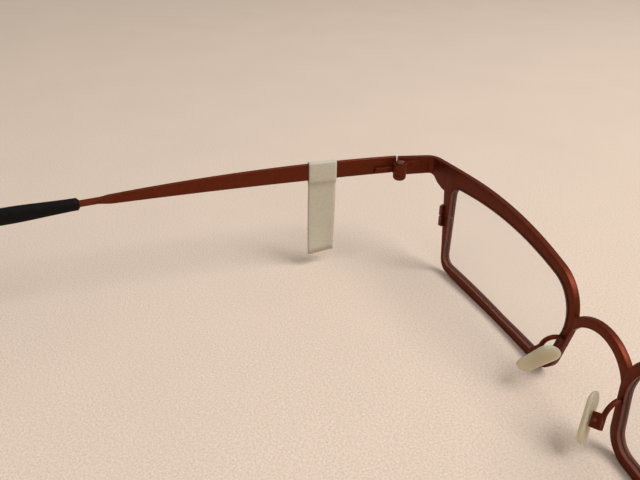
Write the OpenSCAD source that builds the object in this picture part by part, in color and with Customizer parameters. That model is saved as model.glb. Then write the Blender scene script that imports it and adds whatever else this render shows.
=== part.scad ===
// Full rim eyeglasses with a flat sheet metal front, screw hinges and screw-on nose pads.
// +X is the wearer's left, +Y runs back along the temples, +Z is up and z = 0 is the table.
// The sizes below put y = 0 on the back of the bridge; place() moves that to the middle of the whole.

/* [Front] */
// Thickness of the metal sheet that the front is cut from
sheet_t = 1.3; // [1.2:0.1:1.6]
// Radius of the front's wrap, seen from above, on the back face
wrap_r = 245; // [200:5:400]
// Angle that the front leans forward at the top, in degrees
lean = 4.3; // [0:0.1:8]
// Distance from the middle of the bridge to where the wrap begins
flat_half = 9; // [6:0.5:12]
// Height at which the front crosses y = 0
lean_z = 25.5; // [20:0.5:30]
// Distance from the middle to the outer face of a temple
half_width = 66.4; // [66:0.1:68]

/* [Bridge] */
// Height of the bridge's upper edge in the middle
bridge_top_z = 20.6; // [20:0.1:21.5]
// Radius of the bridge's upper edge
bridge_top_r = 11.2; // [10.5:0.1:12]
// Height of the bridge's lower edge in the middle
bridge_low_z = 18.6; // [17.8:0.1:19]
// Radius of the bridge's lower edge
bridge_low_r = 8.6; // [8.4:0.1:8.8]

/* [Lenses] */
// Thickness of a lens
lens_t = 1.8; // [1.6:0.1:2.2]
// How far a lens stands out behind its rim
lens_proud = 0.3; // [0.2:0.1:0.8]
// Width of the ridge round the lens that sits in the rim's groove
ridge_w = 0.5; // [0.4:0.05:0.6]
// How deep the ridge goes into the rim
ridge_deep = 0.5; // [0.3:0.05:0.6]

/* [Hinges] */
// Distance of a hinge pin from the middle of the glasses
hinge_x = 63.2; // [62.8:0.1:63.2]
// Distance of a hinge pin behind the bridge
hinge_y = 16.5; // [15.8:0.1:16.8]
// Outer radius of a hinge barrel
barrel_r = 1.7; // [1.5:0.05:1.75]
// Radius of the hinge screw's shank
hinge_pin_r = 0.6; // [0.5:0.05:0.7]
// Radial clearance of the moving knuckle round the screw
hinge_play = 0.05; // [0.02:0.01:0.08]
// Height of the underside of the barrel
barrel_low_z = 24.4; // [24.2:0.1:24.6]
// Height of the top of the barrel
barrel_top_z = 28.8; // [28.6:0.1:29.3]

/* [Temples] */
// Thickness of a temple's flat strip
strip_t = 1.0; // [0.8:0.1:1.2]
// Distance behind the bridge at which the strip narrows to a wire
neck_y = 91.5; // [85:0.5:95]
// Radius of the wire that runs inside the temple tip
wire_r = 0.82; // [0.7:0.02:0.9]
// Distance behind the bridge at which the tip sleeve starts
sleeve_y = 96; // [94:0.5:100]
// Height of the wire where it leaves the strip
wire_z = 26.1; // [25.5:0.1:26.5]
// Distance behind the bridge at which the tip starts to bend down
bend_y = 113; // [105:1:118]
// Radius of the bend behind the ear
bend_r = 40; // [36:1:45]
// Downward angle of the straight part before the bend, in degrees
bend_from = 4.1; // [3:0.1:6]
// Downward angle of the end of the tip, in degrees
bend_to = 45; // [42:1:48]
// Height of the tip sleeve's section
sleeve_h = 4.1; // [3.4:0.1:4.3]
// Width of the tip sleeve's section
sleeve_w = 3.0; // [2.6:0.1:3.2]

/* [Nose pads] */
// Length of a nose pad
pad_l = 10.2; // [9.6:0.1:11.5]
// Width of a nose pad near its top
pad_top_w = 4.7; // [4.2:0.1:4.8]
// Width of a nose pad near its lower end
pad_low_w = 3.9; // [3.4:0.1:4.2]
// Thickness of a nose pad
pad_t = 1.3; // [1.2:0.1:1.6]
// Radius of the wire that a pad arm is bent from
arm_r = 0.5; // [0.4:0.05:0.6]
// Radius of the pad arm's bend
arm_bend_r = 2.65; // [2.6:0.05:2.7]
// Radius of the pad screw's shank
pad_pin_r = 0.35; // [0.3:0.05:0.4]
// Radial clearance of the pad's tab round its screw
pad_play = 0.05; // [0.02:0.01:0.08]

/* [Closing blocks] */
// Width of the saw cut that splits the rim and its closing block
split_w = 0.2; // [0.1:0.05:0.3]
// Height of the whole closing block
block_h = 5.4; // [5:0.1:6]
// Width of the block across the rim
block_w = 1.5; // [1.4:0.1:1.8]
// Depth of the block from front to back
block_d = 1.6; // [1.5:0.1:1.8]
// Radius of the closing screw's shank
closing_r = 0.35; // [0.3:0.05:0.4]

/* [Lot tag] */
// Width of the paper tag
tag_w = 7.3; // [6:0.1:9]
// Distance of the tag's front edge behind the bridge
tag_y = 33; // [28:0.5:45]
// Height of the tag's lower edge
tag_low_z = 3.9; // [2:0.1:8]
// Thickness of the paper
paper_t = 0.25; // [0.15:0.05:0.3]

/* [Hidden] */
$fn = 48;
wrap_fn = 720;
deep = 40;
// Half of the whole depth less the front's own reach ahead of y = 0
middle_y = 75.093;
joint_x = 58.8;
joint_top_z = 28.8;
leg_in_x = half_width - sheet_t;
strip_in_x = half_width - strip_t;
strip_mid_x = half_width - strip_t / 2;
gap = 0.05;
wire_gap = 0.03;
lap = 0.3;
hair = 0.02;
// Half the flat stretch in the sleeve's section
sleeve_flat = (sleeve_h - sleeve_w) / 2;
// Where a nose pad stands and how it is turned
pad_at = [8.1, 6.6, 7.5];
pad_turn = [38, -11, -30];
// Distance of the pad screw from the middle of the pad
pad_pin_x = 1.75;
// Radius of the round end of the pad's tab
tab_r = 0.7;
// The pad box seen from above the pad: nearest and farthest from the pad, and half its width and length
box_near = 1;
box_far = 2.95;
box_half_w = 1.1;
box_half_l = 1.5;
// Middle of the pad arm's bend, the turn of its plane, and the angles at which it starts and ends;
// it starts sunk in the rim, where it is brazed
arm_mid = [9.464, 2.466, 8.9];
arm_turn = -14.8;
arm_from = 135;
arm_to = -12;
// Where the middle of a closing block stands, its slant along the rim, and how far out its screw is
block_at = [57.65, 5.5, 15.05];
block_slant = 12.4;
screw_out = 0.22;

// Discs that a taut belt round the lens opening would touch: x, z and radius
OPENING = [
    [52.85, 21.95, 2.75], [41.5, -94.83, 120], [18.1, 14.1, 8.6], [15.2, 6.5, 4.2],
    [28, 62, 60], [51.1, 5.75, 2.8]
];
// The same for the outside of the rim, with sharp corners at the joint to the endpiece
RIM = [
    [joint_x, joint_top_z, 0], [49.5, -111.15, 140], [17.9, 14.7, 10.3], [15, 6.2, 6],
    [28, 120, 120], [37, 120, 120], [51.2, 4.6, 3.8], [joint_x, 21.9, 0]
];
// The same for a nose pad's outline
PAD = [[0, (pad_l - pad_top_w) / 2, pad_top_w / 2], [0, (pad_low_w - pad_l) / 2, pad_low_w / 2]];

// Frame colours
copper = [0.36, 0.13, 0.06];
silver = [0.55, 0.42, 0.34];

// Direction of the outward normal where a belt leaves disc a for disc b, with both grown by g
function leave(a, b, g) = atan2(b[1] - a[1], b[0] - a[0])
    - acos(((a[2] > 0 ? a[2] + g : 0) - (b[2] > 0 ? b[2] + g : 0)) / norm([b[0] - a[0], b[1] - a[1]]));
// The angle past a that is the same direction as b
function after(a, b) = b - 360 * floor((b - a) / 360);
// Points of the belt where it lies on disc i
function contact(d, i, g, step) =
    let (n = len(d), r = d[i][2] > 0 ? d[i][2] + g : 0)
    let (from = leave(d[(i + n - 1) % n], d[i], g), to = after(from, leave(d[i], d[(i + 1) % n], g)))
    let (k = r > 0 ? max(1, ceil((to - from) / min(step, 15 / sqrt(r)))) : 0)
    [for (j = [0:k]) [d[i][0], d[i][1]] + r * [cos(from + (to - from) * (k > 0 ? j / k : 0)),
                                               sin(from + (to - from) * (k > 0 ? j / k : 0))]];
// Whole outline of a belt round discs listed anticlockwise
function belt(d, g = 0, step = 10) = [for (i = [0:len(d) - 1]) each contact(d, i, g, step)];

// Upper and lower edges of a temple's strip at a distance y behind the bridge
function strip_top(y) = 30.1 - 2.7 * pow((y - 33) / 55, 2);
function strip_low(y) = 25.6 - 0.6 * pow((y - 43) / 47, 2);

// Moves the glasses from the bridge to the middle of their own box
module place() {
    translate([0, -middle_y, 0]) children();
}

// The same piece on the wearer's right
module other_side() {
    mirror([1, 0, 0]) children();
}

// A front view outline as a block that runs from front to back
module front_view() {
    translate([0, deep / 2, 0]) rotate([90, 0, 0]) linear_extrude(deep) children();
}

// Draws in a view from the wearer's left: X is back, Y is up, and Z is out to the side
module side_view() {
    rotate([90, 0, 90]) children();
}

// Turns plan view shapes to stand square to the leaning front
module leaning() {
    translate([0, 0, lean_z]) rotate([lean, 0, 0]) children();
}

// Plan view of the wrapped sheet between two distances behind its front face
module wrap_plan(back, front) {
    translate([flat_half, wrap_r]) difference() {
        circle(r = wrap_r + front, $fn = wrap_fn);
        circle(r = wrap_r - back, $fn = wrap_fn);
    }
}

// The wrapped sheet itself, measured behind and in front of the rim's back face
module wrap_sheet(back, front) {
    leaning() translate([0, 0, -deep]) linear_extrude(2 * deep) intersection() {
        wrap_plan(back, front);
        translate([0, -deep / 2]) square([2 * deep, deep]);
    }
}

module rim() {
    groove_at = (sheet_t - ridge_w) / 2 - gap;
    color(copper) difference() {
        intersection() {
            wrap_sheet(0, sheet_t);
            front_view() polygon(belt(RIM));
        }
        front_view() polygon(belt(OPENING));
        intersection() {
            wrap_sheet(-groove_at, groove_at + ridge_w + 2 * gap);
            front_view() polygon(belt(OPENING, ridge_deep + gap));
        }
        at_block() cube([8, 8, split_w], center = true);
    }
}

module lens() {
    ridge_at = (sheet_t - ridge_w) / 2;
    color([0.85, 0.9, 0.92, 0.3]) union() {
        intersection() {
            wrap_sheet(lens_proud, lens_t - lens_proud);
            front_view() polygon(belt(OPENING, -gap));
        }
        intersection() {
            wrap_sheet(-ridge_at, ridge_at + ridge_w);
            front_view() polygon(belt(OPENING, ridge_deep));
        }
    }
}

// A flat stretch of the same sheet between the rims
module bridge() {
    color(copper) difference() {
        intersection() {
            leaning() translate([-flat_half, -sheet_t, -deep]) cube([2 * flat_half, sheet_t, 2 * deep]);
            front_view() difference() {
                translate([0, bridge_top_z - bridge_top_r]) circle(r = bridge_top_r, $fn = 96);
                translate([0, bridge_low_z - bridge_low_r]) circle(r = bridge_low_r, $fn = 96);
                translate([-deep, -deep + 11]) square([2 * deep, deep]);
            }
        }
        front_view() polygon(belt(RIM));
        other_side() front_view() polygon(belt(RIM));
    }
}

// The gusset beside the rim, the bend at the corner and the leg that carries the hinge
module endpiece() {
    inner_r = 1.4;
    turn_x = leg_in_x - inner_r;
    turn = asin((turn_x - flat_half) / (wrap_r - inner_r));
    turn_y = wrap_r - (wrap_r - inner_r) * cos(turn);
    leg_end = hinge_y - 0.2;
    color(copper) intersection() {
        leaning() translate([0, 0, -8]) linear_extrude(16) union() {
            intersection() {
                wrap_plan(0, sheet_t);
                polygon([
                    [joint_x, 0], [joint_x, 20], [turn_x, turn_y],
                    [turn_x + 8 * sin(turn), turn_y - 8 * cos(turn)]
                ]);
            }
            translate([turn_x, turn_y]) intersection() {
                difference() {
                    circle(r = inner_r + sheet_t);
                    circle(r = inner_r);
                }
                polygon([[0, 0], [8 * sin(turn), -8 * cos(turn)], [8, -8], [8, 0]]);
            }
            translate([leg_in_x, turn_y]) square([sheet_t, leg_end - turn_y]);
        }
        union() {
            front_view() polygon([
                [joint_x, 21.9], [59.8, 22.0], [62.1, 22.9], [63.6, 24.0], [64.6, 24.3],
                [64.6, 28.8], [joint_x, joint_top_z]
            ]);
            side_view() translate([0, 0, 64.6]) linear_extrude(5) polygon([
                [0, 24.1], [20, 24.9], [20, 29.9], [0, 28.4]
            ]);
        }
    }
}

// Stands a piece at the closing block: X is across the rim and Z up along it
module at_block() {
    translate(block_at) rotate([lean, block_slant, 0]) children();
}

// Half of the block that clamps the rim shut round its lens, between two distances along it
module closing_block(low, high) {
    color(copper) difference() {
        at_block() translate([-block_w / 2, -block_d / 2, low]) cube([block_w, block_d, high - low]);
        intersection() {
            wrap_sheet(0, sheet_t);
            front_view() polygon(belt(RIM));
        }
        at_block() translate([screw_out, 0, 0]) cylinder(r = closing_r + 0.02, h = 2 * block_h, center = true);
    }
}

module closing_block_upper() {
    closing_block(split_w / 2, block_h / 2);
}

module closing_block_lower() {
    closing_block(-block_h / 2, -split_w / 2);
}

module closing_screw() {
    head_h = 0.3;
    slot_w = 0.15;
    color(silver) at_block() translate([screw_out, 0, 0]) difference() {
        union() {
            translate([0, 0, -block_h / 2]) cylinder(r = closing_r, h = block_h);
            translate([0, 0, block_h / 2]) cylinder(r = closing_r + 0.12, h = head_h);
        }
        translate([-1, -slot_w / 2, block_h / 2 + head_h / 2]) cube([2, slot_w, 1]);
    }
}

// A ring of a hinge barrel, rounded at the bottom if low_round is over 0
module knuckle(low_z, high_z, bore_r, low_round) {
    round_steps = [for (i = [0:6]) 15 * i];
    rotate_extrude() polygon(concat(
        [[bore_r, high_z], [bore_r, low_z]],
        low_round > 0
            ? [for (a = round_steps) [barrel_r - low_round + low_round * sin(a),
                                      low_z + low_round - low_round * cos(a)]]
            : [[barrel_r, low_z]],
        [[barrel_r, high_z]]
    ));
}

// Heights of the two cuts between the three knuckles
cut_low_z = barrel_low_z + 1.5;
cut_top_z = barrel_top_z - 1.3;

// Two outer knuckles and the leaf that is brazed inside the endpiece
module hinge_front() {
    bore_r = hinge_pin_r + 0.02;
    leaf_t = 0.8;
    leaf_front_y = 10.4;
    leaf_low_z = barrel_low_z + 0.6;
    leaf_h = barrel_top_z - leaf_low_z - 0.2;
    neck_x = hinge_x + barrel_r / 2;
    color(copper) difference() {
        union() {
            translate([hinge_x, hinge_y, 0]) {
                knuckle(barrel_low_z, cut_low_z, bore_r, 0.9);
                knuckle(cut_top_z, barrel_top_z, bore_r, 0);
            }
            translate([leg_in_x - leaf_t, leaf_front_y, leaf_low_z])
                cube([leaf_t, hinge_y - 0.1 - leaf_front_y, leaf_h]);
            translate([neck_x, hinge_y - 1.6, leaf_low_z]) cube([leg_in_x - 0.1 - neck_x, 1.5, leaf_h]);
        }
        translate([hinge_x, hinge_y, cut_low_z]) cylinder(r = barrel_r + 0.1, h = cut_top_z - cut_low_z);
        translate([hinge_x, hinge_y, 0]) cylinder(r = bore_r, h = deep);
    }
}

// The middle knuckle and the leaf that is brazed inside the temple
module hinge_rear() {
    bore_r = hinge_pin_r + hinge_play;
    low_z = cut_low_z + gap;
    high_z = cut_top_z - gap;
    color(copper) difference() {
        union() {
            translate([hinge_x, hinge_y, 0]) knuckle(low_z, high_z, bore_r, 0);
            translate([hinge_x, hinge_y + 0.2, low_z])
                cube([strip_in_x - hinge_x, 1.4, high_z - low_z]);
            translate([strip_in_x - 0.8, hinge_y + 0.2, low_z]) cube([0.8, 6, high_z - low_z]);
        }
        translate([hinge_x, hinge_y, 0]) cylinder(r = bore_r, h = deep);
    }
}

module hinge_screw() {
    head_h = 0.55;
    color(silver) difference() {
        translate([hinge_x, hinge_y, 0]) union() {
            translate([0, 0, barrel_low_z + 0.1])
                cylinder(r = hinge_pin_r, h = barrel_top_z - barrel_low_z - 0.1);
            translate([0, 0, barrel_top_z]) cylinder(r = 1.15, h = head_h);
        }
        translate([hinge_x - 0.15, hinge_y - 2, barrel_top_z + head_h - 0.3]) cube([0.3, 4, 1]);
    }
}

// Centre of the bend behind the ear, seen from the side
bend_start = [bend_y, wire_z - (bend_y - neck_y) * tan(bend_from)];
bend_mid = bend_start - bend_r * [sin(bend_from), cos(bend_from)];
bend_end = bend_mid + bend_r * [sin(bend_to), cos(bend_to)];
// Length of the straight end, which brings the sleeve's underside down to the table
cap_z = (sleeve_h - sleeve_w) / 2 * cos(bend_to) + sleeve_w / 2;
end_l = (bend_end[1] - cap_z) / sin(bend_to);
// The wire stops short of the sleeve's end
core_l = end_l - 5;

// One straight stretch of a swept section, from a point at a downward angle, lapped into its neighbours.
// Sections that lap differ by a hair in size, so that their faces never run along each other.
module straight(from, angle, length) {
    translate([from[0], from[1], 0]) rotate([90, 0, 90 - angle]) translate([0, 0, -lap])
        linear_extrude(length + 2 * lap) children();
}

// The bend behind the ear, for the same section
module ear_bend() {
    translate([bend_mid[0], bend_mid[1], 0]) rotate([0, 0, 90 - bend_to])
        rotate_extrude(angle = bend_to - bend_from, $fn = 240) translate([bend_r, 0]) children();
}

// The sleeve's outer section, grown all round
module sleeve_section(grow) {
    for (side = [-1, 1]) translate([side * sleeve_flat, 0]) circle(r = sleeve_w / 2 + grow);
    square([2 * sleeve_flat, sleeve_w + 2 * grow], center = true);
}

// A rounded end of the sleeve, centred on the wire at a point
module sleeve_cap(at, angle) {
    cap_r = sleeve_w / 2 - hair / 2;
    translate([at[0], at[1], 0]) rotate([0, 0, -angle]) {
        for (side = [-1, 1]) translate([0, side * sleeve_flat, 0]) sphere(r = cap_r);
        rotate([90, 0, 0]) cylinder(r = cap_r, h = 2 * sleeve_flat, center = true);
    }
}

// The strip and the wire that it draws down to
module temple() {
    front_y = hinge_y + 0.15;
    taper_y = neck_y - 3.5;
    steps = [for (i = [0:12]) front_y + (taper_y - front_y) * i / 12];
    start = [neck_y - 1, wire_z + tan(bend_from)];
    color(copper) side_view() translate([0, 0, strip_mid_x]) {
        translate([0, 0, -strip_t / 2]) linear_extrude(strip_t) polygon(concat(
            [[front_y, 26.6], [front_y + 1.5, strip_low(front_y)]],
            [for (i = [1:12]) [steps[i], strip_low(steps[i])]],
            [[neck_y, wire_z - wire_r], [neck_y, wire_z + wire_r]],
            [for (i = [12:-1:0]) [steps[i], strip_top(steps[i])]]
        ));
        straight(start, bend_from, norm(bend_start - start)) circle(r = wire_r);
        ear_bend() circle(r = wire_r - hair);
        straight(bend_end, bend_to, core_l) circle(r = wire_r);
    }
}

// The plastic sleeve over the wire
module temple_tip() {
    start = [sleeve_y, wire_z - (sleeve_y - neck_y) * tan(bend_from)];
    start_l = norm(bend_start - start);
    bore_r = wire_r + wire_gap;
    mouth = start - sleeve_h * [cos(bend_from), -sin(bend_from)];
    color([0.1, 0.09, 0.1]) side_view() translate([0, 0, strip_mid_x]) difference() {
        union() {
            sleeve_cap(start, bend_from);
            straight(start, bend_from, start_l) sleeve_section(0);
            ear_bend() sleeve_section(-hair);
            straight(bend_end, bend_to, end_l) sleeve_section(0);
            sleeve_cap(bend_end + end_l * [cos(bend_to), -sin(bend_to)], bend_to);
        }
        straight(mouth, bend_from, start_l + sleeve_h) circle(r = bore_r);
        ear_bend() circle(r = bore_r + hair);
        straight(bend_end, bend_to, core_l) circle(r = bore_r);
    }
}

// Stands a piece at the nose pad: X is away from the nose, Y across the pad and Z up along it
module at_pad() {
    translate(pad_at) rotate(pad_turn) children();
}

// A wire bent over from the rim's back face to the outer side of the pad box
module pad_arm() {
    color(copper) difference() {
        translate(arm_mid) rotate([0, 0, arm_turn]) side_view() rotate([0, 0, arm_to])
            rotate_extrude(angle = arm_from - arm_to, $fn = 120) translate([arm_bend_r, 0]) circle(r = arm_r);
        at_pad() box_blank();
    }
}

// The outside of the pad box
module box_blank() {
    translate([box_near, -box_half_w, -box_half_l])
        cube([box_far - box_near, 2 * box_half_w, 2 * box_half_l]);
}

// The little clevis that holds the pad's tab
module pad_box() {
    wall = 0.4;
    slot_w = 1.2;
    color(copper) at_pad() difference() {
        box_blank();
        translate([0, -slot_w / 2, -deep / 2]) cube([box_far - wall, slot_w, deep]);
        across_pad() cylinder(r = pad_pin_r + 0.02, h = 6, center = true);
    }
}

// Lays a piece along the pad screw, with Z towards its head
module across_pad() {
    translate([pad_pin_x, 0, 0]) rotate([90, 0, 0]) children();
}

module pad_screw() {
    head_h = 0.35;
    slot_w = 0.2;
    color(silver) at_pad() across_pad() difference() {
        union() {
            translate([0, 0, -box_half_w]) cylinder(r = pad_pin_r, h = 2 * box_half_w);
            translate([0, 0, box_half_w]) cylinder(r = pad_pin_r + 0.3, h = head_h);
        }
        translate([-slot_w / 2, -1, box_half_w + head_h / 2]) cube([slot_w, 2, 1]);
    }
}

// The core plate moulded into the pad, without the hole for the screw
module core_blank() {
    plate_t = 0.4;
    tab_t = 1;
    translate([-plate_t / 2, -1.1, -2.8]) cube([plate_t, 2.2, 5.6]);
    translate([0, -tab_t / 2, -tab_r]) cube([pad_pin_x, tab_t, 2 * tab_r]);
    across_pad() cylinder(r = tab_r, h = tab_t, center = true);
}

module pad_core() {
    color(silver) at_pad() difference() {
        core_blank();
        across_pad() cylinder(r = pad_pin_r + pad_play, h = 6, center = true);
    }
}

// A soft pad with its wide end up, stepped in towards both faces
module nose_pad() {
    step = 0.4;
    color([0.85, 0.8, 0.6, 0.6]) at_pad() difference() {
        rotate([90, 0, 90]) {
            linear_extrude(pad_t / 2, center = true) polygon(belt(PAD));
            linear_extrude(pad_t, center = true) polygon(belt(PAD, -step));
        }
        core_blank();
    }
}

// A blank paper tag folded over the left temple, its two leaves stuck together below
module lot_tag() {
    slack = 0.08;
    top_z = strip_top(tag_y) + slack;
    neck_z = strip_low(tag_y) - slack;
    color([0.9, 0.88, 0.82]) translate([strip_mid_x, tag_y, 0]) {
        difference() {
            translate([-strip_t / 2 - slack - paper_t, 0, neck_z - paper_t])
                cube([strip_t + 2 * (slack + paper_t), tag_w, top_z - neck_z + 2 * paper_t]);
            translate([-strip_t / 2 - slack, -1, neck_z]) cube([strip_t + 2 * slack, tag_w + 2, top_z - neck_z]);
        }
        translate([-paper_t, 0, tag_low_z]) cube([2 * paper_t, tag_w, neck_z - tag_low_z]);
    }
}

module left_rim() {
    place() rim();
}

module right_rim() {
    place() other_side() rim();
}

module left_endpiece() {
    place() endpiece();
}

module right_endpiece() {
    place() other_side() endpiece();
}

module left_lens() {
    place() lens();
}

module right_lens() {
    place() other_side() lens();
}

module left_closing_block_upper() {
    place() closing_block_upper();
}

module right_closing_block_upper() {
    place() other_side() closing_block_upper();
}

module left_closing_block_lower() {
    place() closing_block_lower();
}

module right_closing_block_lower() {
    place() other_side() closing_block_lower();
}

module left_closing_screw() {
    place() closing_screw();
}

module right_closing_screw() {
    place() other_side() closing_screw();
}

module left_pad_arm() {
    place() pad_arm();
}

module right_pad_arm() {
    place() other_side() pad_arm();
}

module left_pad_box() {
    place() pad_box();
}

module right_pad_box() {
    place() other_side() pad_box();
}

module left_pad_screw() {
    place() pad_screw();
}

module right_pad_screw() {
    place() other_side() pad_screw();
}

module left_pad_core() {
    place() pad_core();
}

module right_pad_core() {
    place() other_side() pad_core();
}

module left_nose_pad() {
    place() nose_pad();
}

module right_nose_pad() {
    place() other_side() nose_pad();
}

module left_hinge_front() {
    place() hinge_front();
}

module right_hinge_front() {
    place() other_side() hinge_front();
}

module left_hinge_screw() {
    place() hinge_screw();
}

module right_hinge_screw() {
    place() other_side() hinge_screw();
}

module left_hinge_rear() {
    place() hinge_rear();
}

module right_hinge_rear() {
    place() other_side() hinge_rear();
}

module left_temple() {
    place() temple();
}

module right_temple() {
    place() other_side() temple();
}

module left_temple_tip() {
    place() temple_tip();
}

module right_temple_tip() {
    place() other_side() temple_tip();
}

place() bridge();
left_rim();
right_rim();
left_endpiece();
right_endpiece();
left_lens();
right_lens();
left_closing_block_upper();
right_closing_block_upper();
left_closing_block_lower();
right_closing_block_lower();
left_closing_screw();
right_closing_screw();
left_pad_arm();
right_pad_arm();
left_pad_box();
right_pad_box();
left_pad_screw();
right_pad_screw();
left_pad_core();
right_pad_core();
left_nose_pad();
right_nose_pad();
left_hinge_front();
right_hinge_front();
left_hinge_screw();
right_hinge_screw();
left_hinge_rear();
right_hinge_rear();
left_temple();
right_temple();
left_temple_tip();
right_temple_tip();
place() lot_tag();
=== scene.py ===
"""Full rim eyeglasses on a plain pale floor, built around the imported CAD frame.

Lengths are metres. +X is the wearer's left, +Y runs back along the temples, +Z is up.
"""
from math import asin, cos, pi, radians, sin, sqrt, tan

import bmesh
import bpy
from mathutils import Euler, Matrix, Vector


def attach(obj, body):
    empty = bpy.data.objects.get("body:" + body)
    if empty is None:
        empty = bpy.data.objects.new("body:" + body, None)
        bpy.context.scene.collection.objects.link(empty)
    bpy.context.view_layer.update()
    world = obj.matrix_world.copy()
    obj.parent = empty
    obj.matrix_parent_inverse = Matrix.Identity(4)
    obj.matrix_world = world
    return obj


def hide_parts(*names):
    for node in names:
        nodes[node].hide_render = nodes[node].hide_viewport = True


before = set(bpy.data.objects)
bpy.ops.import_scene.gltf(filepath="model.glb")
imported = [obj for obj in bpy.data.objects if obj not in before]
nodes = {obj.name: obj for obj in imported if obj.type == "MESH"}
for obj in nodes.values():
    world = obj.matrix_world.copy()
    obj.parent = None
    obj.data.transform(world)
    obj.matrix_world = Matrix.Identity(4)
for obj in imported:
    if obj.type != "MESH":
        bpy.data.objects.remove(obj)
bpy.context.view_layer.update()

MM = 0.001
scene = bpy.context.scene
scene.view_settings.view_transform = "Standard"

SIDES = ("left", "right")

# Sizes that part.scad has too, in millimetres and radians, for the pieces that are modelled here
MIDDLE_Y = 75.093
STRIP_T = 1.0
STRIP_X = 66.4 - STRIP_T / 2
STRIP_Y = 16.65
TAPER_Y = 88.0
NECK_Y = 91.5
WIRE_R = 0.82
WIRE_Z = 26.1
SLEEVE_Y = 96.0
SLEEVE_H = 4.1
SLEEVE_W = 3.0
BEND_Y = 113.0
BEND_R = 40.0
BEND_FROM = radians(4.1)
BEND_TO = radians(45)
PAD_AT = (8.1, 6.6, 7.5)
PAD_TURN = (38, -11, -30)
PAD_L = 10.2
PAD_TOP_W = 4.7
PAD_LOW_W = 3.9
PAD_T = 1.3
TAG_Y = 33.0
TAG_W = 7.3
TAG_LOW_Z = 3.9
# Upper and lower edge of the strip: height, drop, the y where it is level, and the drop's reach
TOP_EDGE = (30.1, 2.7, 33, 55)
LOW_EDGE = (25.6, 0.6, 43, 47)
# The strip's lower front corner is cut back: its height there, and its slope
FRONT_LOW_Z = 26.6
FRONT_SLOPE = 0.67

# Looks that part.scad doesn't have, in millimetres
CORNER_POINTS = 6
STRIP_EDGE_R = 0.3
SLEEVE_MOUTH_HALF_W = 1.35
SLEEVE_MOUTH_HALF_H = 1.5
SLEEVE_GROWS_OVER = 16
SLEEVE_LIP = 0.6
SLEEVE_CAP = 1.9
THINNEST = 0.02
PAD_CROWN = 1.0
TAG_HALF_T = 0.055
TAG_EDGE_R = 0.2

# The photograph's view: place in millimetres, angles in degrees, lens in millimetres
CAMERA_AT = (-74.3, 2.8, 93.8)
CAMERA_HEADING = 73.7
CAMERA_PITCH = 30.6
CAMERA_ROLL = 1.0
CAMERA_LENS = 35.3
SKY = ((0.0, (0.08, 0.075, 0.07, 1)), (0.9, (1.0, 0.98, 0.95, 1)))
SKY_STRENGTH = 0.62
TABLE_HALF = 1.5


def sign(side):
    """+1 on the wearer's left, where X is positive, and -1 on the right."""
    return 1 if side == "left" else -1


# ---------------------------------------------------------------- materials

class Surface:
    """A node material with a Principled shader, and short calls that add to it."""

    def __init__(self, name, **sockets):
        self.material = bpy.data.materials.new(name)
        self.material.use_nodes = True
        self.tree = self.material.node_tree
        self.shader = self.tree.nodes["Principled BSDF"]
        self.place = self.add("ShaderNodeTexCoord").outputs["Object"]
        for socket, value in sockets.items():
            self.shader.inputs[socket.replace("_", " ")].default_value = value

    def add(self, kind, **settings):
        node = self.tree.nodes.new(kind)
        for key, value in settings.items():
            setattr(node, key, value)
        return node

    def link(self, out, into):
        self.tree.links.new(out, into)

    def noise(self, scale, detail=3.0, rough=0.55, stretch=(1, 1, 1)):
        """Noise in the object's own space, with scale in features to the metre."""
        mapping = self.add("ShaderNodeMapping")
        mapping.inputs["Scale"].default_value = stretch
        self.link(self.place, mapping.inputs["Vector"])
        texture = self.add("ShaderNodeTexNoise")
        texture.inputs["Scale"].default_value = scale
        texture.inputs["Detail"].default_value = detail
        texture.inputs["Roughness"].default_value = rough
        self.link(mapping.outputs["Vector"], texture.inputs["Vector"])
        return texture.outputs["Fac"]

    def place_normal(self):
        """The surface's direction, which tells a lens's faces from its edge."""
        return self.add("ShaderNodeTexCoord").outputs["Normal"]

    def ramp(self, value, *stops):
        """Colours, or greys, at positions along a value from 0 to 1."""
        ramp = self.add("ShaderNodeValToRGB")
        while len(ramp.color_ramp.elements) < len(stops):
            ramp.color_ramp.elements.new(0.5)
        for element, (at, colour) in zip(ramp.color_ramp.elements, stops):
            element.position = at
            element.color = (*colour, 1) if isinstance(colour, tuple) else (colour,) * 3 + (1,)
        self.link(value, ramp.inputs["Fac"])
        return ramp.outputs["Color"]

    def mix(self, amount, a, b):
        """A blend of two colours; the colour sockets of a Mix node are its 7th and 8th."""
        node = self.add("ShaderNodeMix", data_type="RGBA")
        self.link(amount, node.inputs[0])
        self.link(a, node.inputs[6])
        self.link(b, node.inputs[7])
        return node.outputs[2]

    def colour(self, out):
        self.link(out, self.shader.inputs["Base Color"])

    def roughness(self, out):
        self.link(out, self.shader.inputs["Roughness"])

    def bump(self, height, depth, strength=1.0):
        """Bump of a given depth in metres, on top of any that is there already."""
        node = self.add("ShaderNodeBump")
        node.inputs["Strength"].default_value = strength
        node.inputs["Distance"].default_value = depth
        self.link(height, node.inputs["Height"])
        normal = self.shader.inputs["Normal"]
        if normal.is_linked:
            self.link(normal.links[0].from_socket, node.inputs["Normal"])
        self.link(node.outputs["Normal"], normal)


def frame_paint():
    """Satin copper brown lacquer on metal, slightly mottled, with a fine grain."""
    s = Surface("frame_paint", Metallic=0.6, IOR=1.45, Specular_IOR_Level=0.2)
    s.colour(s.ramp(s.noise(900), (0.3, (0.112, 0.0175, 0.0048)), (0.7, (0.140, 0.0235, 0.0070))))
    s.roughness(s.ramp(s.noise(2500), (0.3, 0.38), (0.7, 0.50)))
    s.bump(s.noise(16000, 2), 0.000012, 0.5)
    return s.material


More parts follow.
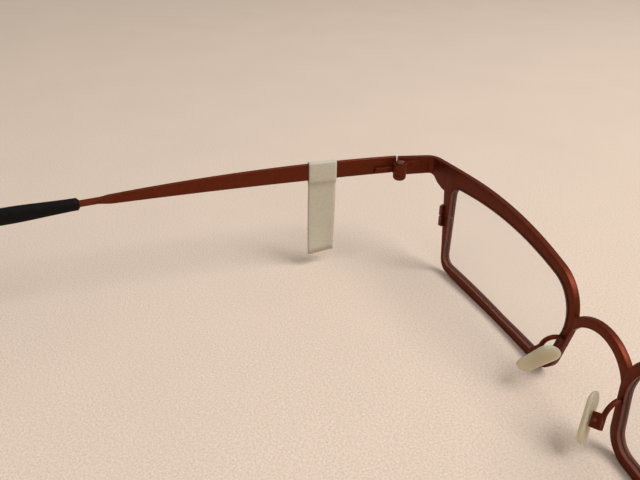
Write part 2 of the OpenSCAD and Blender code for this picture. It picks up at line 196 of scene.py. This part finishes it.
def screw_steel():
    """Lacquered screw with its head turned, seen as fine streaks."""
    s = Surface("screw_steel", Metallic=0.9)
    s.colour(s.ramp(s.noise(3000), (0.3, (0.17, 0.050, 0.022)), (0.7, (0.28, 0.11, 0.055))))
    s.roughness(s.ramp(s.noise(6000, stretch=(1, 1, 8)), (0.3, 0.25), (0.7, 0.4)))
    s.bump(s.noise(9000, stretch=(1, 1, 6)), 0.00001, 0.5)
    return s.material


def core_steel():
    """Plain metal of the plate inside a nose pad, yellowed like the pad."""
    s = Surface("core_steel", Metallic=0.6)
    s.colour(s.ramp(s.noise(2500), (0.3, (0.50, 0.43, 0.32)), (0.7, (0.60, 0.53, 0.41))))
    s.roughness(s.ramp(s.noise(5000), (0.3, 0.35), (0.7, 0.5)))
    return s.material


def lens_glass():
    """Clear coated lens; its frosted edge is painted the rim's copper brown, with metal on it, as
    a painted reflection of the rim round it.
    """
    s = Surface("lens_glass", IOR=1.5)
    facing = s.add("ShaderNodeSeparateXYZ")
    s.link(s.place_normal(), facing.inputs[0])
    upright = s.add("ShaderNodeMath", operation="ABSOLUTE")
    s.link(facing.outputs["Y"], upright.inputs[0])
    clear = s.ramp(s.noise(60, 1), (0.3, (0.80, 0.83, 0.82)), (0.7, (0.86, 0.88, 0.87)))
    # painted reflection: the lens's edge takes the rim's copper brown, the rim reflected in it,
    # not the glass's own colour
    painted_rim_reflection = s.ramp(s.noise(900), (0.3, (0.140, 0.026, 0.008)), (0.7, (0.170, 0.034, 0.011)))
    s.colour(s.mix(s.ramp(upright.outputs[0], (0.5, 0.0), (0.8, 1.0)), painted_rim_reflection, clear))
    s.roughness(s.ramp(upright.outputs[0], (0.5, 0.7), (0.8, 0.04)))
    # the edge is also made metal so that this painted reflection shines tinted
    s.link(s.ramp(upright.outputs[0], (0.5, 0.6), (0.8, 0.0)), s.shader.inputs["Metallic"])
    s.link(s.ramp(upright.outputs[0], (0.5, 0.95), (0.8, 0.06)), s.shader.inputs["Alpha"])
    return s.material


def pad_silicone():
    """Clear silicone that has yellowed a little, a touch cloudier in places."""
    s = Surface("pad_silicone", IOR=1.38, Transmission_Weight=0.35, Subsurface_Weight=0.6,
                Subsurface_Scale=0.003)
    s.shader.inputs["Subsurface Radius"].default_value = (1.0, 0.8, 0.5)
    s.colour(s.ramp(s.noise(160, 2), (0.3, (0.82, 0.70, 0.49)), (0.7, (0.92, 0.82, 0.62))))
    s.roughness(s.ramp(s.noise(500, 2), (0.3, 0.28), (0.7, 0.38)))
    s.bump(s.noise(700, 1), 0.00001, 0.2)
    return s.material


def tip_plastic():
    """Matte black plastic with a fine moulded grain."""
    s = Surface("tip_plastic", IOR=1.45, Specular_IOR_Level=0.1)
    s.colour(s.ramp(s.noise(700), (0.3, (0.0052, 0.0042, 0.0040)),
                    (0.7, (0.0085, 0.0070, 0.0068))))
    s.roughness(s.ramp(s.noise(3000), (0.3, 0.50), (0.7, 0.64)))
    s.bump(s.noise(9000, 2), 0.00002, 0.6)
    return s.material


def tag_paper():
    """Cream paper with fibres and slight mottling."""
    s = Surface("tag_paper", Roughness=0.85, Subsurface_Weight=0.2, Subsurface_Scale=0.0008)
    s.colour(s.ramp(s.noise(1500, 4), (0.3, (0.54, 0.47, 0.37)), (0.7, (0.61, 0.54, 0.43))))
    s.bump(s.noise(5000, 4, stretch=(1, 1, 0.3)), 0.00003, 0.7)
    return s.material


def table_top():
    """Pale beige table with a finely grained surface."""
    s = Surface("table_top", Roughness=0.8, Specular_IOR_Level=0.2)
    coarse = s.ramp(s.noise(30, 3), (0.3, (0.70, 0.572, 0.470)), (0.7, (0.75, 0.613, 0.505)))
    fine = s.ramp(s.noise(2300, 4, 0.7), (0.34, (0.50, 0.405, 0.328)),
                  (0.66, (0.93, 0.767, 0.640)))
    share = s.ramp(s.noise(20, 2), (0.3, 0.45), (0.7, 0.6))
    s.colour(s.mix(share, coarse, fine))
    s.bump(s.noise(2300, 4, 0.7), 0.00007, 0.4)
    return s.material


# ---------------------------------------------------------------- mesh helpers

def row(x, y, z):
    """A place in millimetres from the bridge, as part.scad has it, in the row frame."""
    return Vector((x, y - MIDDLE_Y, z)) * MM


def mesh_object(name, points, faces, material, body, slot):
    """A smooth piece made from points and faces, painted and riding on a body."""
    mesh = bpy.data.meshes.new(name)
    mesh.from_pydata([tuple(p) for p in points], [], faces)
    bm = bmesh.new()
    bm.from_mesh(mesh)
    bmesh.ops.recalc_face_normals(bm, faces=bm.faces)
    bm.to_mesh(mesh)
    bm.free()
    mesh.polygons.foreach_set("use_smooth", [True] * len(mesh.polygons))
    mesh.materials.append(material)
    piece = bpy.data.objects.new(name, mesh)
    scene.collection.objects.link(piece)
    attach(piece, body)
    return piece


def skin(rings):
    """Points and faces of a closed tube through rings that have the same number of points."""
    count = len(rings[0])
    points = [p for ring in rings for p in ring]
    faces = []
    for i in range(len(rings) - 1):
        for j in range(count):
            a, b = i * count + j, i * count + (j + 1) % count
            faces.append((a, b, b + count, a + count))
    faces.append(tuple(range(count)))
    faces.append(tuple(range(len(points) - count, len(points))))
    return points, faces


def soften(node, width, segments=3):
    """Rounds a CAD node's sharp edges by a real radius, and shades it smooth."""
    piece = nodes[node]
    piece.data.polygons.foreach_set("use_smooth", [True] * len(piece.data.polygons))
    weld = piece.modifiers.new("Weld", "WELD")
    weld.merge_threshold = 0.002 * MM
    bevel = piece.modifiers.new("Bevel", "BEVEL")
    bevel.limit_method = "ANGLE"
    bevel.angle_limit = radians(32)
    bevel.width = width
    bevel.segments = segments
    bevel.harden_normals = True


def paint(node, material):
    piece = nodes[node]
    piece.data.materials.clear()
    piece.data.materials.append(material)


# ---------------------------------------------------------------- temples and tips

def edge_z(edge, y):
    """Height of one edge of the strip at y."""
    height, drop, level_y, reach = edge
    return height - drop * ((y - level_y) / reach) ** 2


def strip_top(y):
    return edge_z(TOP_EDGE, y)


def strip_low(y):
    return edge_z(LOW_EDGE, y)


def smooth(t):
    """0 to 1 with no sudden start or stop."""
    t = min(max(t, 0), 1)
    return t * t * (3 - 2 * t)


def ring(side, at, angle, half_w, half_h, corner):
    """A rounded rectangle round the temple's line at (y, z), which slopes down by an angle."""
    across, up = [], []
    for quarter in range(4):
        sx, su = ((1, 1), (-1, 1), (-1, -1), (1, -1))[quarter]
        for k in range(CORNER_POINTS):
            a = pi / 2 * (quarter + k / (CORNER_POINTS - 1))
            across.append(sx * (half_w - corner) + corner * cos(a))
            up.append(su * (half_h - corner) + corner * sin(a))
    return [row(sign(side) * (STRIP_X + x), at[0] + u * sin(angle), at[1] + u * cos(angle))
            for x, u in zip(across, up)]


def ear_line(start_y, length_after_bend):
    """Places and downward angles along the wire: straight, round the bend, and straight on."""
    drop = tan(BEND_FROM)
    bend = (BEND_Y, WIRE_Z - (BEND_Y - NECK_Y) * drop)
    middle = (bend[0] - BEND_R * sin(BEND_FROM), bend[1] - BEND_R * cos(BEND_FROM))
    line = []
    for i in range(9):
        y = start_y + (BEND_Y - start_y) * i / 8
        line.append(((y, WIRE_Z - (y - NECK_Y) * drop), BEND_FROM))
    for i in range(1, 25):
        a = BEND_FROM + (BEND_TO - BEND_FROM) * i / 24
        line.append(((middle[0] + BEND_R * sin(a), middle[1] + BEND_R * cos(a)), a))
    end = line[-1][0]
    for i in range(1, 9):
        far = length_after_bend * i / 8
        line.append(((end[0] + far * cos(BEND_TO), end[1] - far * sin(BEND_TO)), BEND_TO))
    return line


def end_length():
    """Length of the straight end, which brings the sleeve's underside down to the table."""
    bend_z = (WIRE_Z - (BEND_Y - NECK_Y) * tan(BEND_FROM)
              - BEND_R * (cos(BEND_FROM) - cos(BEND_TO)))
    cap_z = (SLEEVE_H - SLEEVE_W) / 2 * cos(BEND_TO) + SLEEVE_W / 2
    return (bend_z - cap_z) / sin(BEND_TO)


def temple(side, material):
    """The flat strip with rounded edges, drawn down to a wire that runs on inside the tip."""
    half_t, edge = STRIP_T / 2, STRIP_EDGE_R
    rings = []
    for y, inset in ((STRIP_Y, 0.2), (STRIP_Y + 0.06, 0.06), (STRIP_Y + 0.2, 0.0)):
        low = FRONT_LOW_Z - (y - STRIP_Y) * FRONT_SLOPE
        rings.append(ring(side, (y, (strip_top(y) + low) / 2), 0, half_t - inset,
                          (strip_top(y) - low) / 2 - inset, edge - inset))
    for i in range(25):
        y = STRIP_Y + 1.5 + (TAPER_Y - STRIP_Y - 1.5) * i / 24
        rings.append(ring(side, (y, (strip_top(y) + strip_low(y)) / 2), 0, half_t,
                          (strip_top(y) - strip_low(y)) / 2, edge))
    half_h = (strip_top(TAPER_Y) - strip_low(TAPER_Y)) / 2
    middle_z = (strip_top(TAPER_Y) + strip_low(TAPER_Y)) / 2
    for i in range(1, 9):
        t = smooth(i / 8)
        at = (TAPER_Y + (NECK_Y - TAPER_Y) * i / 8, middle_z + (WIRE_Z - middle_z) * t)
        rings.append(ring(side, at, 0, half_t + (WIRE_R - half_t) * t,
                          half_h + (WIRE_R - half_h) * t, edge + (WIRE_R - edge) * t))
    for at, angle in ear_line(NECK_Y + 1, end_length() - 5):
        rings.append(ring(side, at, angle, WIRE_R, WIRE_R, WIRE_R))
    piece = mesh_object(f"{side}_temple_strip", *skin(rings), material, f"{side}_arm",
                        "frame_paint")
    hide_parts(f"{side}_temple")


def temple_tip(side, material):
    """The sleeve: open at its mouth, thin there, fuller round the ear and rounded at the end."""
    bore, lip, cap = WIRE_R + 0.03, SLEEVE_LIP, SLEEVE_CAP
    line = ear_line(SLEEVE_Y - 0.6, end_length() + cap - 0.5)
    first, angle = line[0]
    rings = [ring(side, (first[0] + 3, first[1] - 3 * tan(angle)), angle, bore, bore, bore),
             ring(side, first, angle, bore, bore, bore)]
    travelled = 0
    total = sum((Vector(b[0]) - Vector(a[0])).length for a, b in zip(line, line[1:]))
    stations = []
    for (a, angle_a), (b, angle_b) in zip(line, line[1:]):
        step = (Vector(b) - Vector(a)).length
        for k in range(4):
            t = k / 4
            at = (a[0] + (b[0] - a[0]) * t, a[1] + (b[1] - a[1]) * t)
            stations.append((travelled + step * t, at, angle_a + (angle_b - angle_a) * t))
        travelled += step
    for k in range(1, 7):
        far = total - cap * (1 - sin(pi / 2 * k / 6))
        back = total - far
        end, angle_end = line[-1]
        at = (end[0] - back * cos(angle_end), end[1] + back * sin(angle_end))
        stations.append((far, at, angle_end))
    for far, at, angle in stations:
        grow = smooth(far / SLEEVE_GROWS_OVER)
        half_w = SLEEVE_MOUTH_HALF_W + (SLEEVE_W / 2 - SLEEVE_MOUTH_HALF_W) * grow
        half_h = SLEEVE_MOUTH_HALF_H + (SLEEVE_H / 2 - SLEEVE_MOUTH_HALF_H) * grow
        near = min(far / lip, 1)
        left = min((total - far) / cap, 1)
        pinch = sqrt(max(1 - (1 - near) ** 2, 0)) * sqrt(max(1 - (1 - left) ** 2, 0.0004))
        least = bore if near < 1 else THINNEST
        half_w, half_h = max(half_w * pinch, least), max(half_h * pinch, least)
        rings.append(ring(side, at, angle, half_w, half_h, 0.97 * min(half_w, half_h)))
    piece = mesh_object(f"{side}_tip_sleeve", *skin(rings), material, f"{side}_arm", "tip")
    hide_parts(f"{side}_temple_tip")


# ---------------------------------------------------------------- nose pads

def pad_outline(shrink):
    """A nose pad's rounded outline with its end radii shrunk: (across, along) in millimetres."""
    top_r, low_r = PAD_TOP_W / 2, PAD_LOW_W / 2
    top_z, low_z = PAD_L / 2 - top_r, low_r - PAD_L / 2
    lean_in = asin((top_r - low_r) / (top_z - low_z))
    points = []
    ends = ((top_z, top_r, -lean_in, pi + lean_in),
            (low_z, low_r, pi + lean_in, 2 * pi - lean_in))
    for middle, radius, start, stop in ends:
        for k in range(17):
            a = start + (stop - start) * k / 16
            points.append((radius * shrink * cos(a), middle + radius * shrink * sin(a)))
    return points


def nose_pad(side, material):
    """Soft pad, crowned towards the nose and nearly flat towards its screw."""
    turn = Euler([radians(a) for a in PAD_TURN]).to_matrix()
    crown, back = PAD_CROWN, PAD_T - PAD_CROWN
    rings = []
    profile = [(-crown * cos(pi / 2 * k / 9), sin(pi / 2 * k / 9)) for k in range(10)]
    profile += [(back * sin(pi / 2 * k / 4), 1 - 0.22 * (1 - cos(pi / 2 * k / 4)))
                for k in range(1, 5)]
    shift = PAD_T / 2 - back
    for depth, shrink in profile:
        shrink = max(shrink, 0.03)
        ring_points = []
        for across, along in pad_outline(shrink):
            p = Vector(PAD_AT) + turn @ Vector((depth + shift, across, along))
            ring_points.append(row(sign(side) * p.x, p.y, p.z))
        rings.append(ring_points)
    piece = mesh_object(f"{side}_soft_pad", *skin(rings), material, f"{side}_pad", "pad")
    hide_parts(f"{side}_nose_pad")


# ---------------------------------------------------------------- lot tag

def tag_line():
    """The folded paper from the front: up one leaf, over the strip and down the other."""
    top, low = strip_top(TAG_Y) + 0.15, strip_low(TAG_Y) - 0.15
    out = STRIP_T / 2 + 0.2
    side = [(0.08, TAG_LOW_Z + (low - 1.6 - TAG_LOW_Z) * k / 12) for k in range(13)]
    side += [(0.08 + (out - 0.08) * smooth(k / 5), low - 1.6 + 1.6 * k / 5) for k in range(1, 6)]
    side += [(out, low + (top - low) * k / 4) for k in range(1, 4)]
    side += [(out - TAG_EDGE_R + TAG_EDGE_R * cos(pi / 2 * k / 4),
              top - TAG_EDGE_R + TAG_EDGE_R * sin(pi / 2 * k / 4)) for k in range(5)]
    return side + [(-x, z) for x, z in reversed(side)]


def lot_tag(material):
    """Blank paper folded over the left temple, with a slight curl where it hangs free."""
    line = [Vector(p) for p in tag_line()]
    half = TAG_HALF_T
    outer, inner = [], []
    for i, p in enumerate(line):
        along = (line[min(i + 1, len(line) - 1)] - line[max(i - 1, 0)]).normalized()
        across = Vector((along.y, -along.x)) * half
        outer.append(p + across)
        inner.append(p - across)
    loop = outer + inner[::-1]
    count, points, faces = len(loop), [], []
    steps = 12
    for k in range(steps + 1):
        y = TAG_Y + TAG_W * k / steps
        for p in loop:
            hang = max(strip_low(TAG_Y) - 1.5 - p.y, 0) / 20
            curl = (0.55 * hang ** 2 * cos(pi * k / steps)
                    + 0.25 * sin(pi * hang) * (k / steps - 0.5))
            points.append(row(STRIP_X + p.x + curl, y + 0.15 * hang, p.y))
    for k in range(steps):
        for j in range(count):
            a, b = k * count + j, k * count + (j + 1) % count
            faces.append((a, b, b + count, a + count))
    for base in (0, steps * count):
        for j in range(len(line) - 1):
            faces.append((base + j, base + j + 1, base + count - 2 - j, base + count - 1 - j))
    piece = mesh_object("paper_tag", points, faces, material, "left_arm", "paper")
    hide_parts("lot_tag")


# ---------------------------------------------------------------- camera and light

def look(position, forward, roll):
    """The rotation of a camera or light at a place, looking along a direction."""
    turn = forward.to_track_quat("-Z", "Y").to_matrix().to_4x4()
    return Matrix.Translation(position) @ turn @ Matrix.Rotation(roll, 4, "Z")


def add_camera():
    """The photograph's view: over the right temple, down on the left lens and temple."""
    heading, pitch, roll = radians(CAMERA_HEADING), radians(CAMERA_PITCH), radians(CAMERA_ROLL)
    forward = Vector((sin(heading) * cos(pitch), -cos(heading) * cos(pitch), -sin(pitch)))
    data = bpy.data.cameras.new("camera")
    data.sensor_width = 36
    data.lens = CAMERA_LENS
    data.clip_start = 0.005
    camera = bpy.data.objects.new("camera", data)
    camera.matrix_world = look(Vector(CAMERA_AT) * MM, forward, roll)
    scene.collection.objects.link(camera)
    scene.camera = camera


def area_light(name, position, aim, size, power, colour=(1, 1, 1)):
    data = bpy.data.lights.new(name, "AREA")
    data.shape = "DISK"
    data.size = size
    data.energy = power
    data.color = colour
    light = bpy.data.objects.new(name, data)
    light.matrix_world = look(Vector(position), Vector(aim) - Vector(position), 0)
    scene.collection.objects.link(light)


def add_world():
    """A soft sky, bright overhead and dim towards the horizon, like a room's ceiling lights."""
    world = bpy.data.worlds.new("studio")
    world.use_nodes = True
    tree = world.node_tree
    place = tree.nodes.new("ShaderNodeTexCoord")
    split = tree.nodes.new("ShaderNodeSeparateXYZ")
    ramp = tree.nodes.new("ShaderNodeValToRGB")
    for element, (at, colour) in zip(ramp.color_ramp.elements, SKY):
        element.position = at
        element.color = colour
    tree.links.new(place.outputs["Generated"], split.inputs[0])
    tree.links.new(split.outputs["Z"], ramp.inputs["Fac"])
    background = tree.nodes["Background"]
    tree.links.new(ramp.outputs["Color"], background.inputs["Color"])
    background.inputs["Strength"].default_value = SKY_STRENGTH
    scene.world = world


def add_lights():
    """Soft light from the front and a little from the wearer's right, with a weak fill."""
    area_light("key", (-0.22, -0.5, 0.72), (0.03, -0.02, 0.0), 0.5, 5.6, (1.0, 0.98, 0.95))
    area_light("fill", (-0.6, -0.05, 0.6), (0.03, 0.0, 0.0), 0.6, 0.9, (1.0, 0.98, 0.96))


def add_floor(material):
    mesh = bpy.data.meshes.new("table")
    half = TABLE_HALF
    mesh.from_pydata([(-half, -half, 0), (half, -half, 0), (half, half, 0), (-half, half, 0)], [],
                     [(0, 1, 2, 3)])
    mesh.materials.append(material)
    floor = bpy.data.objects.new("table", mesh)
    floor.location.z = -0.00002
    scene.collection.objects.link(floor)


# ---------------------------------------------------------------- build

add_camera()
add_world()
add_lights()
add_floor(table_top())

PAINT = frame_paint()
SCREW = screw_steel()
CORE = core_steel()
GLASS = lens_glass()
PAD = pad_silicone()
TIP = tip_plastic()
PAPER = tag_paper()

painted = {"rim": 0.22, "endpiece": 0.2, "closing_block_upper": 0.15, "closing_block_lower": 0.15,
           "pad_box": 0.12, "hinge_front": 0.12, "hinge_rear": 0.12}
for side in SIDES:
    for piece, width in painted.items():
        paint(f"{side}_{piece}", PAINT)
        soften(f"{side}_{piece}", width * MM)
    temple(side, PAINT)
    temple_tip(side, TIP)
    nose_pad(side, PAD)
    paint(f"{side}_pad_arm", PAINT)
    soften(f"{side}_pad_arm", 0.05 * MM)
    for piece in ("closing_screw", "hinge_screw", "pad_screw"):
        paint(f"{side}_{piece}", SCREW)
        soften(f"{side}_{piece}", 0.06 * MM)
    paint(f"{side}_pad_core", CORE)
    soften(f"{side}_pad_core", 0.05 * MM)
    paint(f"{side}_lens", GLASS)
    soften(f"{side}_lens", 0.08 * MM)
paint("bridge", PAINT)
soften("bridge", 0.22 * MM)
lot_tag(PAPER)
